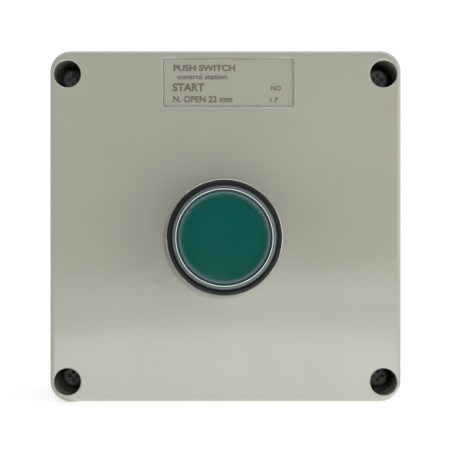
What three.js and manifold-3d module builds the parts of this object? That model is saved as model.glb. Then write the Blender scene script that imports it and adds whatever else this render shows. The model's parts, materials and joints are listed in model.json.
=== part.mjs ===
// Surface-mounted push-button station: a square two-part enclosure with one booted 22 mm push button.
// Millimetres. +X is to the right, +Z is up, and the button faces -Y. The origin is the centre of the back face,
// which lies on the wall, so the wall plane is y = 0 and the front face of the cover is at y = -DEPTH.
import * as THREE from "three";
import { mergeVertices } from "three/addons/utils/BufferGeometryUtils.js";
import Module from "manifold-3d";

const wasm = await Module();
wasm.setup();

// Enclosure
const SIZE = 101; // width and height of the square box
const DEPTH = 65; // wall to the front face
const COVER_DEPTH = 28; // front face to the seam
const WALL = 3;
const CORNER_RADIUS = 6;
const FRONT_ROUNDING = 1.2; // rounding of the front edge
const BACK_TAPER = 0.985; // the base is a little smaller at the wall, so that it leaves its mould
const GASKET_THICKNESS = 1.2;
const GASKET_INSET = 0.6;
const FIT = 0.3; // gap round a piece that stands in a hole

// Cover screws
const SCREW_SPACING_X = 91;
const SCREW_SPACING_Z = 88.6;
const SCREW_PATTERN_Z = -0.4; // the screws sit a little below the middle of the box
const POST_RADIUS = 6.3;
const SCREW_WELL_RADIUS = 3.9;
const SCREW_WELL_DEPTH = 24.5;
const SCREW_RADIUS = 1.9;
const SCREW_HOLE_RADIUS = SCREW_RADIUS + 0.4;
const SCREW_HEAD_RADIUS = 3.1;
const SCREW_HEAD_HEIGHT = 2.6;
const SEAL_THICKNESS = 0.9;
const SEAL_RADIUS = 3.4;
const INSERT_LENGTH = 12;
const INSERT_RADIUS = 3;

// Rating label recess
const LABEL_WIDTH = 37.2;
const LABEL_HEIGHT = 13.6;
const LABEL_DEPTH = 0.6;
const LABEL_X = 0.8;
const LABEL_Z = 41.4;

// Conduit entries in the top and bottom walls of the base
const ENTRY_RADIUS = 12.5;
const ENTRY_BOSS_RADIUS = 15.8;
const ENTRY_BOSS_LENGTH = 12;
const ENTRY_Y = -18.5;
const PLUG_FLANGE_RADIUS = 14.6;
const PLUG_FLANGE_THICKNESS = 2;
const PLUG_LENGTH = 10;

// Wall fixing slots
const SLOT_PITCH_X = 60;
const SLOT_PITCH_Z = 66;
const SLOT_RADIUS = 2.75;
const SLOT_LENGTH = 10;

// Push-button operator, on an axis along Y that is a little left of and below the cover's middle
const BUTTON_X = -0.3;
const BUTTON_Z = -3.1;
const TRAVEL = 4.5;
const PANEL_HOLE_RADIUS = 11.25;
const BARREL_RADIUS = 11;
const BEZEL_RADIUS = 16.85;
const RING_RADIUS = 16.4;
const RING_FRONT_RADIUS = 16.15;
const RING_OPENING_RADIUS = 14.95;
const BOOT_RADIUS = 14.7;
const CAP_RADIUS = 12.5;
const STEM_RADIUS = 5.1;

// Contact block
const BLOCK_WIDTH = 12;
const BLOCK_HEIGHT = 38;
const BLOCK_FRONT = -41.5;
const BLOCK_BACK = -19.5;
const CONTACT_GAP = 2.6;
const TERMINAL_OFFSET = 14; // terminal screws above and below the button axis
const TIP_OFFSET = 8.2; // contact tips above and below the button axis

// Facets round a circle
const FINE = 40;
const MEDIUM = 24;
const COARSE = 12;

const FRONT = -DEPTH;
const SEAM = FRONT + COVER_DEPTH; // the cover's back rim
const BASE_RIM = SEAM + GASKET_THICKNESS;
const WELL_FLOOR = FRONT + SCREW_WELL_DEPTH;

const standard = (color, roughness, metalness = 0) =>
  new THREE.MeshStandardMaterial({ color, roughness, metalness });

const MATERIAL = {
  enclosure: standard(0xaeaea2, 0.35),
  rubber: standard(0x1b1c1b, 0.8),
  chrome: standard(0xd9dadb, 0.12, 1),
  blackPlastic: standard(0x17181a, 0.4),
  boot: standard(0xc6d0d2, 0.2),
  green: standard(0x0f5147, 0.35),
  zinc: standard(0x9a9a94, 0.35, 1),
  spring: standard(0xa9aaa8, 0.3, 1),
  brass: standard(0xb08d4f, 0.35, 1),
  silver: standard(0xc9c8c4, 0.25, 1),
  block: standard(0x2f6d45, 0.45),
  blockCover: standard(0x394240, 0.4),
  whitePlastic: standard(0xd8d8d0, 0.45),
};

// Boolean helpers: a closed geometry becomes a solid, and a solid becomes a geometry again.

function solid(geometry) {
  const bare = new THREE.BufferGeometry();
  bare.setAttribute("position", geometry.getAttribute("position"));
  bare.setIndex(geometry.index);
  const merged = mergeVertices(bare, 1e-4);
  return new wasm.Manifold(
    new wasm.Mesh({
      numProp: 3,
      vertProperties: merged.attributes.position.array,
      triVerts: new Uint32Array(merged.index.array),
    }),
  );
}

function geometryOf(shape) {
  const mesh = shape.getMesh();
  const geometry = new THREE.BufferGeometry();
  geometry.setAttribute("position", new THREE.BufferAttribute(mesh.vertProperties, 3));
  geometry.setIndex(new THREE.BufferAttribute(mesh.triVerts, 1));
  geometry.computeVertexNormals();
  return geometry;
}

const union = (first, ...others) => others.reduce((sum, other) => sum.add(other), first);

// Shape helpers. Outlines lie in the XZ plane and are extruded along Y; profiles turn about an axis along Y.

function roundedRectangle(width, height, radius) {
  const [w, h] = [width / 2, height / 2];
  const shape = new THREE.Shape();
  shape.absarc(w - radius, h - radius, radius, 0, Math.PI / 2);
  shape.absarc(-w + radius, h - radius, radius, Math.PI / 2, Math.PI);
  shape.absarc(-w + radius, -h + radius, radius, Math.PI, 1.5 * Math.PI);
  shape.absarc(w - radius, -h + radius, radius, 1.5 * Math.PI, 2 * Math.PI);
  return shape;
}

function slab(shape, back, front, bevel = 0, curveSegments = 6) {
  const geometry = new THREE.ExtrudeGeometry(shape, {
    depth: back - front - 2 * bevel,
    curveSegments,
    bevelEnabled: bevel > 0,
    bevelSize: bevel,
    bevelOffset: -bevel,
    bevelThickness: bevel,
    bevelSegments: 3,
  });
  return geometry.rotateX(Math.PI / 2).translate(0, back - bevel, 0);
}

function box(x0, x1, y0, y1, z0, z1) {
  const geometry = new THREE.BoxGeometry(x1 - x0, y1 - y0, z1 - z0);
  return solid(geometry.translate((x0 + x1) / 2, (y0 + y1) / 2, (z0 + z1) / 2));
}

// A solid of revolution about Y. The profile is a closed outline of [radius, y] points.
function turned(profile, segments = MEDIUM) {
  const points = profile.map(([radius, y]) => new THREE.Vector2(radius, y));
  if (THREE.ShapeUtils.area(points) < 0) points.reverse();
  const axial = points.findIndex((p, i) => p.x === 0 && points.at(i - 1).x === 0);
  if (axial >= 0) points.push(...points.splice(0, axial));
  else points.push(points[0].clone());
  return solid(new THREE.LatheGeometry(points, segments));
}

const cylinder = (radius, back, front, segments = COARSE) =>
  turned([[0, front], [radius, front], [radius, back], [0, back]], segments);

const tube = (outer, inner, back, front, segments = MEDIUM) =>
  turned([[inner, front], [outer, front], [outer, back], [inner, back]], segments);

const onButtonAxis = (shape) => shape.translate(BUTTON_X, 0, BUTTON_Z);

// A shape made about Y is turned to stand along Z.
const upright = (shape) => shape.rotate(90, 0, 0);

// A round-wire spring along Y between the levels back and front.
function helix(meanRadius, wireRadius, turns, back, front) {
  class Helix extends THREE.Curve {
    getPoint(t, target = new THREE.Vector3()) {
      const angle = 2 * Math.PI * turns * t;
      const y = back - wireRadius + (front - back + 2 * wireRadius) * t;
      return target.set(meanRadius * Math.cos(angle), y, meanRadius * Math.sin(angle));
    }
  }
  const section = new THREE.Shape().absarc(0, 0, wireRadius, 0, 2 * Math.PI);
  return solid(
    new THREE.ExtrudeGeometry(section, {
      steps: Math.round(turns * 10),
      curveSegments: 3,
      extrudePath: new Helix(),
    }),
  );
}

// A cross recess, cut along Y from y = front.
function crossRecess(front, depth, span, width) {
  const across = box(-span / 2, span / 2, front - 1, front + depth, -width / 2, width / 2);
  const down = box(-width / 2, width / 2, front - 1, front + depth, -span / 2, span / 2);
  return across.add(down);
}

const group = new THREE.Group();

function place(name, shape, material) {
  const mesh = new THREE.Mesh(geometryOf(shape), material);
  mesh.name = name;
  group.add(mesh);
}

const CORNERS = [
  ["top_left", -1, 1],
  ["top_right", 1, 1],
  ["bottom_left", -1, -1],
  ["bottom_right", 1, -1],
].map(([name, x, z]) => ({
  name,
  x: (x * SCREW_SPACING_X) / 2,
  z: SCREW_PATTERN_Z + (z * SCREW_SPACING_Z) / 2,
}));

const atCorners = (shape) => union(...CORNERS.map(({ x, z }) => shape.translate(x, 0, z)));

// Enclosure base: a tapered tray with corner posts, conduit entry bosses and wall fixing slots.
function enclosureBase() {
  const outline = slab(roundedRectangle(SIZE, SIZE, CORNER_RADIUS), 0, BASE_RIM);
  const position = outline.getAttribute("position");
  for (let i = 0; i < position.count; i++) {
    const scale = position.getY(i) > BASE_RIM / 2 ? BACK_TAPER : 1;
    position.setX(i, position.getX(i) * scale);
    position.setZ(i, position.getZ(i) * scale);
  }
  const shell = solid(outline);
  const inside = SIZE - 2 * WALL;
  const cavity = solid(slab(roundedRectangle(inside, inside, CORNER_RADIUS / 2), -WALL, BASE_RIM - 1));

  const bossEnd = SIZE / 2 - ENTRY_BOSS_LENGTH;
  const boss = upright(cylinder(ENTRY_BOSS_RADIUS, -bossEnd, -SIZE / 2, FINE));
  const bosses = union(boss, boss.mirror([0, 0, 1])).translate(0, ENTRY_Y, 0);
  const entry = upright(cylinder(ENTRY_RADIUS, -bossEnd + 1, -SIZE / 2 - 1, FINE));
  const entries = union(entry, entry.mirror([0, 0, 1])).translate(0, ENTRY_Y, 0);

  const posts = atCorners(cylinder(POST_RADIUS, -WALL / 2, BASE_RIM)).intersect(shell);
  const pockets = atCorners(cylinder(INSERT_RADIUS + FIT / 2, BASE_RIM + INSERT_LENGTH, BASE_RIM - 1));
  const bores = atCorners(cylinder(SCREW_HOLE_RADIUS, BASE_RIM + INSERT_LENGTH + 4, BASE_RIM - 1));

  const slotOutline = roundedRectangle(SLOT_LENGTH, 2 * SLOT_RADIUS, SLOT_RADIUS - 0.001);
  const slot = solid(slab(slotOutline, 1, -WALL - 1));
  const slots = union(
    ...[-1, 1].flatMap((x) =>
      [-1, 1].map((z) => slot.translate((x * SLOT_PITCH_X) / 2, 0, (z * SLOT_PITCH_Z) / 2)),
    ),
  );
  // A shallow ring on the back marks the disc to cut out for a rear cable entry.
  const rearRing = tube(ENTRY_RADIUS + 0.8, ENTRY_RADIUS, 1, -1.2, MEDIUM);

  return union(shell.subtract(cavity), posts, bosses)
    .subtract(entries)
    .subtract(pockets)
    .subtract(bores)
    .subtract(slots)
    .subtract(rearRing);
}

// Front cover: a deep lid with rounded front edges, four screw wells and the recessed label panel.
function frontCover() {
  const block = solid(
    slab(roundedRectangle(SIZE, SIZE, CORNER_RADIUS), SEAM + 5, FRONT, FRONT_ROUNDING),
  );
  const half = SIZE / 2 + 1;
  const outer = block.subtract(box(-half, half, SEAM, SEAM + 6, -half, half));
  const inside = SIZE - 2 * WALL;
  const cavity = solid(slab(roundedRectangle(inside, inside, CORNER_RADIUS / 2), SEAM + 1, FRONT + WALL));
  const posts = atCorners(cylinder(POST_RADIUS, SEAM, FRONT + WALL / 2, MEDIUM)).intersect(outer);
  const wellRounding = 0.5;
  const well = turned(
    [
      [0, FRONT - 1],
      [SCREW_WELL_RADIUS + wellRounding, FRONT - 1],
      [SCREW_WELL_RADIUS + wellRounding, FRONT],
      [SCREW_WELL_RADIUS, FRONT + wellRounding],
      [SCREW_WELL_RADIUS, WELL_FLOOR],
      [0, WELL_FLOOR],
    ],
    MEDIUM,
  );
  const bore = cylinder(SCREW_HOLE_RADIUS, SEAM + 1, WELL_FLOOR - 1);
  const label = box(
    LABEL_X - LABEL_WIDTH / 2,
    LABEL_X + LABEL_WIDTH / 2,
    FRONT - 1,
    FRONT + LABEL_DEPTH,
    LABEL_Z - LABEL_HEIGHT / 2,
    LABEL_Z + LABEL_HEIGHT / 2,
  );
  const buttonHole = onButtonAxis(cylinder(PANEL_HOLE_RADIUS, FRONT + WALL + 1, FRONT - 1, FINE));
  return union(outer.subtract(cavity), posts)
    .subtract(atCorners(well.add(bore)))
    .subtract(label)
    .subtract(buttonHole);
}

// Flat rubber frame between base and cover, with an eye round each screw.
function coverGasket() {
  const outerSize = SIZE - 2 * GASKET_INSET;
  const innerSize = SIZE - 2 * WALL;
  const outer = solid(slab(roundedRectangle(outerSize, outerSize, CORNER_RADIUS), BASE_RIM, SEAM));
  const inner = solid(
    slab(roundedRectangle(innerSize, innerSize, CORNER_RADIUS / 2), BASE_RIM + 1, SEAM - 1),
  );
  const eyes = atCorners(cylinder(POST_RADIUS, BASE_RIM, SEAM)).intersect(outer);
  const holes = atCorners(cylinder(SCREW_HOLE_RADIUS, BASE_RIM + 1, SEAM - 1));
  return union(outer.subtract(inner), eyes).subtract(holes);
}

const SCREW_HEAD_BACK = WELL_FLOOR - SEAL_THICKNESS;

function coverScrew() {
  const head = turned([
    [0, SCREW_HEAD_BACK - SCREW_HEAD_HEIGHT],
    [SCREW_HEAD_RADIUS - 0.7, SCREW_HEAD_BACK - SCREW_HEAD_HEIGHT],
    [SCREW_HEAD_RADIUS, SCREW_HEAD_BACK - SCREW_HEAD_HEIGHT + 0.7],
    [SCREW_HEAD_RADIUS, SCREW_HEAD_BACK],
    [SCREW_RADIUS, SCREW_HEAD_BACK],
    [SCREW_RADIUS, BASE_RIM + INSERT_LENGTH - 2],
    [SCREW_RADIUS - 0.7, BASE_RIM + INSERT_LENGTH - 1],
    [0, BASE_RIM + INSERT_LENGTH - 1],
  ], COARSE);
  return head.subtract(crossRecess(SCREW_HEAD_BACK - SCREW_HEAD_HEIGHT, 1.7, 3.9, 0.9));
}

function placeCoverScrews() {
  const seal = tube(SEAL_RADIUS, SCREW_RADIUS + FIT, WELL_FLOOR, SCREW_HEAD_BACK, COARSE);
  const insert = tube(INSERT_RADIUS, SCREW_RADIUS + FIT, BASE_RIM + INSERT_LENGTH, BASE_RIM, COARSE);
  const screw = coverScrew();
  for (const { name, x, z } of CORNERS) {
    place("cover_screw_" + name, screw.translate(x, 0, z), MATERIAL.zinc);
    place("screw_seal_" + name, seal.translate(x, 0, z), MATERIAL.rubber);
    place("brass_insert_" + name, insert.translate(x, 0, z), MATERIAL.brass);
  }
}

// Blanking plug in the top conduit entry, with its sealing ring.
function conduitPlug() {
  const top = SIZE / 2;
  const ringThickness = 0.8;
  const body = turned(
    [
      [0, -(top + ringThickness + PLUG_FLANGE_THICKNESS)],
      [PLUG_FLANGE_RADIUS - 0.8, -(top + ringThickness + PLUG_FLANGE_THICKNESS)],
      [PLUG_FLANGE_RADIUS, -(top + ringThickness + PLUG_FLANGE_THICKNESS - 0.8)],
      [PLUG_FLANGE_RADIUS, -(top + ringThickness)],
      [ENTRY_RADIUS - FIT, -(top + ringThickness)],
      [ENTRY_RADIUS - FIT, -(top - PLUG_LENGTH)],
      [ENTRY_RADIUS - 2.5, -(top - PLUG_LENGTH)],
      [ENTRY_RADIUS - 2.5, -(top - 1)],
      [0, -(top - 1)],
    ],
    FINE,
  );
  const slotDepth = 1.4;
  const slotTop = top + ringThickness + PLUG_FLANGE_THICKNESS;
  const slot = box(-9, 9, -1.1, 1.1, slotTop - slotDepth, slotTop + 1);
  const plug = upright(body).mirror([0, 0, 1]).subtract(slot);
  const ring = upright(tube(ENTRY_RADIUS + 1.9, ENTRY_RADIUS + 0.1, -top, -(top + ringThickness), FINE));
  place("conduit_plug", plug.translate(0, ENTRY_Y, 0), MATERIAL.enclosure);
  place("conduit_plug_seal", ring.mirror([0, 0, 1]).translate(0, ENTRY_Y, 0), MATERIAL.rubber);
}

// Operator levels, measured from the front face of the cover.
const GASKET_FRONT = FRONT - 1;
const FLANGE_FRONT = GASKET_FRONT - 3;
const CUP_FLOOR = FLANGE_FRONT + 1;
const NECK_FRONT = FLANGE_FRONT - 4.6;
const BOOT_FLANGE_FRONT = NECK_FRONT - 1.2;
const RING_FRONT = BOOT_FLANGE_FRONT - 1.5;
const CAP_FRONT = FRONT - 12.6;
const CAP_BACK = CAP_FRONT + 4.6;
const BOOT_FRONT = FRONT - 14.2;
const BARREL_BACK = -48;
const CLIP_THICKNESS = 0.9;
const STEM_END = BARREL_BACK + 1.6;
const SPRING_SEAT = BARREL_BACK - 2;
const CAP_WALL = 1.4;
const DISC_FRONT = CAP_FRONT + CAP_WALL + 0.1;
const DISC_BACK = DISC_FRONT + 1.5;

function placeOperator() {
  const bore = 9;
  const bezel = turned(
    [
      [STEM_RADIUS + FIT, BARREL_BACK],
      [STEM_RADIUS + FIT, SPRING_SEAT],
      [bore, SPRING_SEAT],
      [bore, CUP_FLOOR],
      [13.7, CUP_FLOOR],
      [13.7, NECK_FRONT],
      [15.3, NECK_FRONT],
      [15.3, FLANGE_FRONT],
      [BEZEL_RADIUS - 0.5, FLANGE_FRONT],
      [BEZEL_RADIUS, FLANGE_FRONT + 0.5],
      [BEZEL_RADIUS, GASKET_FRONT],
      [BARREL_RADIUS, GASKET_FRONT],
      [BARREL_RADIUS, BARREL_BACK],
    ],
    FINE,
  );
  const panelGasket = tube(BEZEL_RADIUS - 0.8, BARREL_RADIUS + FIT, FRONT, GASKET_FRONT, FINE);
  const ring = turned(
    [
      [15.6, FLANGE_FRONT],
      [15.6, BOOT_FLANGE_FRONT],
      [RING_OPENING_RADIUS, BOOT_FLANGE_FRONT],
      [RING_OPENING_RADIUS, RING_FRONT + 0.4],
      [RING_OPENING_RADIUS + 0.4, RING_FRONT],
      [RING_FRONT_RADIUS - 0.6, RING_FRONT],
      [RING_FRONT_RADIUS, RING_FRONT + 0.6],
      [RING_RADIUS, FLANGE_FRONT],
    ],
    FINE,
  );
  const bootWall = 0.9;
  const boot = turned(
    [
      [13.7, NECK_FRONT],
      [15.4, NECK_FRONT],
      [15.4, BOOT_FLANGE_FRONT],
      [BOOT_RADIUS, BOOT_FLANGE_FRONT],
      [BOOT_RADIUS - 0.1, BOOT_FRONT + 2],
      [BOOT_RADIUS - 0.7, BOOT_FRONT + 0.6],
      [BOOT_RADIUS - 1.9, BOOT_FRONT],
      [0, BOOT_FRONT],
      [0, BOOT_FRONT + bootWall],
      [BOOT_RADIUS - 2.3, BOOT_FRONT + bootWall],
      [BOOT_RADIUS - 1, BOOT_FRONT + 2.2],
    ],
    FINE,
  );
  const cap = turned(
    [
      [0, CAP_FRONT],
      [CAP_RADIUS - 0.6, CAP_FRONT],
      [CAP_RADIUS, CAP_FRONT + 0.6],
      [CAP_RADIUS, CAP_BACK],
      [CAP_RADIUS - CAP_WALL, CAP_BACK],
      [CAP_RADIUS - CAP_WALL, CAP_FRONT + CAP_WALL],
      [0, CAP_FRONT + CAP_WALL],
    ],
    FINE,
  );
  const clipFront = BARREL_BACK + 0.1;
  const clipBack = clipFront + CLIP_THICKNESS;
  const grooveRadius = STEM_RADIUS - 0.9;
  const plunger = turned([
    [0, DISC_FRONT],
    [10.6, DISC_FRONT],
    [10.6, DISC_BACK],
    [STEM_RADIUS, DISC_BACK],
    [STEM_RADIUS, clipFront - 0.05],
    [grooveRadius, clipFront - 0.05],
    [grooveRadius, clipBack + 0.05],
    [STEM_RADIUS, clipBack + 0.05],
    [STEM_RADIUS, STEM_END - 0.4],
    [STEM_RADIUS - 0.4, STEM_END],
    [0, STEM_END],
  ]);
  const clipGap = box(-1.6, 1.6, clipFront - 1, clipBack + 1, -9, 0);
  const clip = tube(7.4, grooveRadius + 0.1, clipBack, clipFront).subtract(clipGap);
  const returnSpring = helix(7.2, 0.5, 6.5, SPRING_SEAT - 0.05, DISC_BACK + 0.05);

  const panelBack = FRONT + WALL;
  const lockWasher = tube(14.2, BARREL_RADIUS + FIT, panelBack + 1, panelBack, MEDIUM);
  const nutBack = panelBack + 6;
  const hexagon = solid(slab(regularHexagon(14.4), nutBack, panelBack + 1));
  const nut = hexagon.subtract(cylinder(BARREL_RADIUS + FIT, nutBack + 1, panelBack, MEDIUM));

  const pieces = [
    ["bezel_body", bezel, MATERIAL.chrome],
    ["panel_gasket", panelGasket, MATERIAL.rubber],
    ["boot_ring", ring, MATERIAL.blackPlastic],
    ["clear_boot", boot, MATERIAL.boot],
    ["button_cap", cap, MATERIAL.green],
    ["plunger", plunger, MATERIAL.blackPlastic],
    ["plunger_clip", clip, MATERIAL.spring],
    ["return_spring", returnSpring, MATERIAL.spring],
    ["lock_washer", lockWasher, MATERIAL.zinc],
    ["lock_nut", nut, MATERIAL.zinc],
  ];
  for (const [name, shape, material] of pieces) place(name, onButtonAxis(shape), material);
}

function regularHexagon(flatRadius) {
  const cornerRadius = flatRadius / Math.cos(Math.PI / 6);
  const corners = [0, 1, 2, 3, 4, 5].map((i) => {
    const angle = (i * Math.PI) / 3;
    return new THREE.Vector2(cornerRadius * Math.cos(angle), cornerRadius * Math.sin(angle));
  });
  return new THREE.Shape(corners);
}

// The carrier clamps on the back of the barrel and holds the contact block.
const CARRIER_FRONT = -55.5;
const CARRIER_HALF_WIDTH = 14.5;
const CARRIER_HALF_HEIGHT = 15;

function placeCarrier() {
  const outline = roundedRectangle(2 * CARRIER_HALF_WIDTH, 2 * CARRIER_HALF_HEIGHT, 3);
  const body = solid(slab(outline, BLOCK_FRONT, CARRIER_FRONT, 0, 3));
  const barrelBore = cylinder(BARREL_RADIUS + FIT, BARREL_BACK + 0.3, CARRIER_FRONT - 1, MEDIUM);
  const clipRoom = cylinder(9, BLOCK_FRONT + 1, BARREL_BACK, MEDIUM);
  const screwY = -51.5;
  const shankRadius = 1.5;
  const shankEnd = BARREL_RADIUS + 0.4;
  const screwBore = upright(cylinder(shankRadius + 0.2, -shankEnd + 2, -CARRIER_HALF_HEIGHT - 1));
  const notch = box(-4, 4, -47.7, -45.7, CARRIER_HALF_HEIGHT - 1.2, CARRIER_HALF_HEIGHT + 1);
  const carrier = body
    .subtract(barrelBore)
    .subtract(clipRoom)
    .subtract(screwBore.mirror([0, 0, 1]).translate(0, screwY, 0))
    .subtract(notch)
    .subtract(notch.mirror([0, 0, 1]));

  const headTop = CARRIER_HALF_HEIGHT + 2.1;
  const profile = [
    [0, -headTop],
    [2.3, -headTop],
    [2.8, -headTop + 0.5],
    [2.8, -CARRIER_HALF_HEIGHT - 0.05],
    [shankRadius, -CARRIER_HALF_HEIGHT - 0.05],
    [shankRadius, -shankEnd],
    [0, -shankEnd],
  ];
  const screw = upright(turned(profile, COARSE).subtract(crossRecess(-headTop, 1.3, 3.4, 0.8)));

  place("contact_carrier", onButtonAxis(carrier), MATERIAL.blackPlastic);
  const seated = screw.mirror([0, 0, 1]).translate(0, screwY, 0);
  place("carrier_screw", onButtonAxis(seated), MATERIAL.zinc);
}

// Normally open contact block. Levels run back from the block's front face.
const PLUNGER_TIP = STEM_END + 0.1;
const WINDOW_FRONT = -39;
const WINDOW_BACK = -30.5;
const PLUNGER_BACK = -28.5;
const BRIDGE_THICKNESS = 0.8;
const BRIDGE_BACK = WINDOW_BACK - 0.05;
const TIP_THICKNESS = 0.5;
const FIXED_TIP_FRONT = BRIDGE_BACK + TIP_THICKNESS + CONTACT_GAP + 0.05;
const STRIP_FRONT = FIXED_TIP_FRONT + TIP_THICKNESS;
const STRIP_THICKNESS = 1;
const CLAMP_FRONT = STRIP_FRONT + STRIP_THICKNESS + 0.8;
const CLAMP_THICKNESS = 1;
const CHAMBER_BACK = -21;
const COVER_THICKNESS = 1.4;
const TERMINAL_SHANK_RADIUS = 1.6;
const BLOCK_HALF = BLOCK_HEIGHT / 2;

function contactHousing() {
  const w = BLOCK_WIDTH / 2;
  const body = box(-w, w - COVER_THICKNESS, BLOCK_FRONT, BLOCK_BACK, -BLOCK_HALF, BLOCK_HALF);
  const side = w - 1.4;
  const chamber = box(-side, w, -39.8, CHAMBER_BACK, -11, 11);
  const guide = box(-3.5, 3.5, BLOCK_FRONT - 1, -39, -4.3, 4.3);
  const stripSlot = box(-side, w, STRIP_FRONT - 0.3, CLAMP_FRONT + CLAMP_THICKNESS + 0.3, 9, 17.6);
  const wireEntry = box(-3, 3, STRIP_FRONT + STRIP_THICKNESS, CLAMP_FRONT + 0.4, 16, BLOCK_HALF + 1);
  const screwWell = cylinder(3.1, BLOCK_BACK + 1, CLAMP_FRONT).translate(0, 0, TERMINAL_OFFSET);
  const shankRoom = cylinder(TERMINAL_SHANK_RADIUS + 0.4, CLAMP_FRONT, STRIP_FRONT - 3.4);
  const terminal = union(stripSlot, wireEntry, screwWell, shankRoom.translate(0, 0, TERMINAL_OFFSET));
  const hookArm = box(-3.4, 3.4, -47.5, BLOCK_FRONT + 0.5, CARRIER_HALF_HEIGHT + 0.2, CARRIER_HALF_HEIGHT + 2);
  const hookNib = box(-3.4, 3.4, -47.5, -45.9, CARRIER_HALF_HEIGHT - 0.8, CARRIER_HALF_HEIGHT + 0.5);
  const hook = hookArm.add(hookNib);
  return union(body, hook, hook.mirror([0, 0, 1]))
    .subtract(chamber)
    .subtract(guide)
    .subtract(terminal)
    .subtract(terminal.mirror([0, 0, 1]));
}

function contactPlunger() {
  const stem = box(-3.2, 3.2, PLUNGER_TIP, PLUNGER_BACK, -4, 4);
  const window = box(-2.1, 2.1, WINDOW_FRONT, WINDOW_BACK, -5, 5);
  const springPeg = cylinder(0.8, PLUNGER_BACK + 1.2, PLUNGER_BACK - 0.5);
  return stem.subtract(window).add(springPeg);
}

// Fixed contact: a flat strip with a threaded eye under its terminal screw.
function fixedContact() {
  const inner = TIP_OFFSET - 2;
  const strip = box(-3, 3, STRIP_FRONT, STRIP_FRONT + STRIP_THICKNESS, inner, 17.3);
  const eye = cylinder(TERMINAL_SHANK_RADIUS + 0.25, STRIP_FRONT + 2, STRIP_FRONT - 1);
  return strip.subtract(eye.translate(0, 0, TERMINAL_OFFSET));
}

function terminalScrew() {
  const headBack = CLAMP_FRONT + CLAMP_THICKNESS + 2.2;
  const shankFront = STRIP_FRONT - 3;
  const profile = [
    [0, headBack],
    [2.3, headBack],
    [2.8, headBack - 0.5],
    [2.8, CLAMP_FRONT + CLAMP_THICKNESS + 0.05],
    [TERMINAL_SHANK_RADIUS, CLAMP_FRONT + CLAMP_THICKNESS + 0.05],
    [TERMINAL_SHANK_RADIUS, shankFront],
    [0, shankFront],
  ];
  const recess = crossRecess(-headBack, 1.3, 3.2, 0.8).mirror([0, 1, 0]);
  return turned(profile, COARSE).subtract(recess);
}

function terminalClamp() {
  const plate = box(-3.1, 3.1, CLAMP_FRONT, CLAMP_FRONT + CLAMP_THICKNESS, -3.1, 3.1);
  return plate.subtract(cylinder(TERMINAL_SHANK_RADIUS + 0.25, CLAMP_FRONT + 2, CLAMP_FRONT - 1));
}

function placeContactBlock() {
  const w = BLOCK_WIDTH / 2;
  const cover = box(w - COVER_THICKNESS + 0.05, w, BLOCK_FRONT, BLOCK_BACK, -BLOCK_HALF, BLOCK_HALF);
  const bridge = box(-1.8, 1.8, BRIDGE_BACK - BRIDGE_THICKNESS, BRIDGE_BACK, -10, 10);
  const pressureSpring = helix(1.4, 0.25, 4.5, BRIDGE_BACK - BRIDGE_THICKNESS - 0.05, WINDOW_FRONT + 0.05);
  const plungerSpring = helix(2.4, 0.3, 4, CHAMBER_BACK - 0.05, PLUNGER_BACK + 0.05);
  const movingTip = cylinder(1.3, BRIDGE_BACK + TIP_THICKNESS + 0.05, BRIDGE_BACK + 0.05);
  const fixedTip = cylinder(1.5, STRIP_FRONT, FIXED_TIP_FRONT);

  const pieces = [
    ["contact_housing", contactHousing(), MATERIAL.block],
    ["contact_cover", cover, MATERIAL.blockCover],
    ["contact_plunger", contactPlunger(), MATERIAL.whitePlastic],
    ["contact_plunger_spring", plungerSpring, MATERIAL.spring],
    ["contact_bridge", bridge, MATERIAL.brass],
    ["bridge_spring", pressureSpring, MATERIAL.spring],
  ];
  const mirrored = [
    ["moving_tip", movingTip.translate(0, 0, TIP_OFFSET), MATERIAL.silver],
    ["fixed_tip", fixedTip.translate(0, 0, TIP_OFFSET), MATERIAL.silver],
    ["fixed_contact", fixedContact(), MATERIAL.brass],
    ["terminal_clamp", terminalClamp().translate(0, 0, TERMINAL_OFFSET), MATERIAL.zinc],
    ["terminal_screw", terminalScrew().translate(0, 0, TERMINAL_OFFSET), MATERIAL.zinc],
  ];
  for (const [name, shape, material] of pieces) place(name, onButtonAxis(shape), material);
  for (const [name, shape, material] of mirrored) {
    place(name + "_upper", onButtonAxis(shape), material);
    place(name + "_lower", onButtonAxis(shape.mirror([0, 0, 1])), material);
  }
}

// Loop terminal on the floor of the base: a brass tunnel with two clamping screws in a moulded saddle.
function placeLoopTerminal() {
  const [x, z] = [33, 0];
  const floor = -WALL;
  const saddle = box(-5, 5, -9, floor, -9, 9).subtract(box(-3.2, 3.2, -10, -5, -10, 10));
  const barrel = box(-2.9, 2.9, -12.4, -5.2, -8, 8);
  const tunnel = upright(cylinder(1.8, 9, -9)).translate(0, -7.7, 0);
  const thread = cylinder(1.75, -7, -13);
  const threads = union(thread.translate(0, 0, 4), thread.translate(0, 0, -4));
  const screw = turned(
    [[0, -13.6], [1.5, -13.6], [1.5, -9.2], [1.1, -8.8], [0, -8.8]],
    COARSE,
  ).subtract(box(-2, 2, -14, -12.7, -0.25, 0.25));
  const pieces = [
    ["loop_terminal_saddle", saddle, MATERIAL.enclosure],
    ["loop_terminal_barrel", barrel.subtract(tunnel).subtract(threads), MATERIAL.brass],
    ["loop_terminal_screw_upper", screw.translate(0, 0, 4), MATERIAL.zinc],
    ["loop_terminal_screw_lower", screw.translate(0, 0, -4), MATERIAL.zinc],
  ];
  for (const [name, shape, material] of pieces) place(name, shape.translate(x, 0, z), material);
}

place("enclosure_base", enclosureBase(), MATERIAL.enclosure);
place("front_cover", frontCover(), MATERIAL.enclosure);
place("cover_gasket", coverGasket(), MATERIAL.rubber);
placeCoverScrews();
conduitPlug();
placeOperator();
placeCarrier();
placeContactBlock();
placeLoopTerminal();

export default group;
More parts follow.
